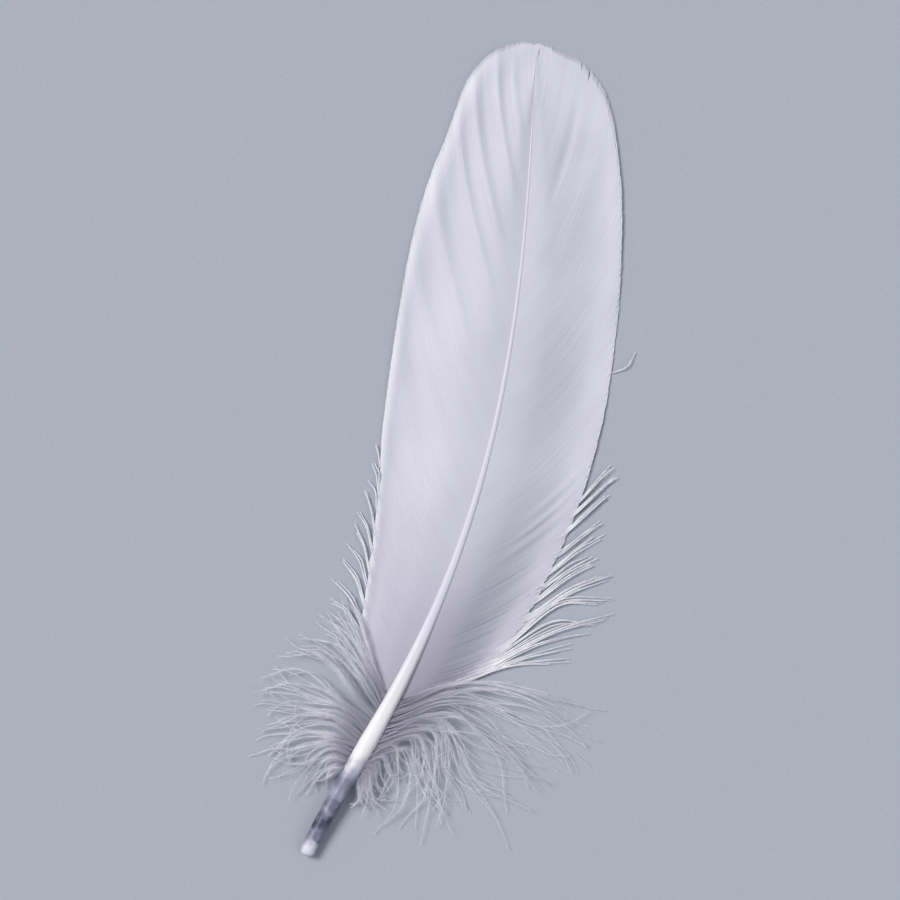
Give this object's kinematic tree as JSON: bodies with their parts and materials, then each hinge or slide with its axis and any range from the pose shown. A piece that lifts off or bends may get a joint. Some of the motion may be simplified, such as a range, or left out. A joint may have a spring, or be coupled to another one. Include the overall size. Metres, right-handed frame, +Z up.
{
  "type": "goose quill feather",
  "caption": "White goose feather lying flat: tapered quill and rachis, two closed vanes, loose strands at one margin and downy barbs at the base.",
  "frame": {"origin": "middle of the box around the feather, on the surface it lies on", "axes": "+Y from the quill's blunt end to the vane's tip, +X to the right of the shaft seen from above, +Z up, out of the feather's upper side"},
  "size_m": [0.0744, 0.1754, 0.0049],
  "materials": {
    "shaft": "smooth ivory keratin with a satin shine, turning translucent grey-lilac with darker bands on the bare quill",
    "vane": "satin white barbs with a faint cool tint and fine slanting lines",
    "down": "soft matt white down"
  },
  "bodies": {
    "root": {"shaft": "shaft", "left_vane": "vane", "right_vane": "vane", "right_loose_barbs": "vane", "left_down": "down", "right_down": "down"}
  },
  "joints": []
}
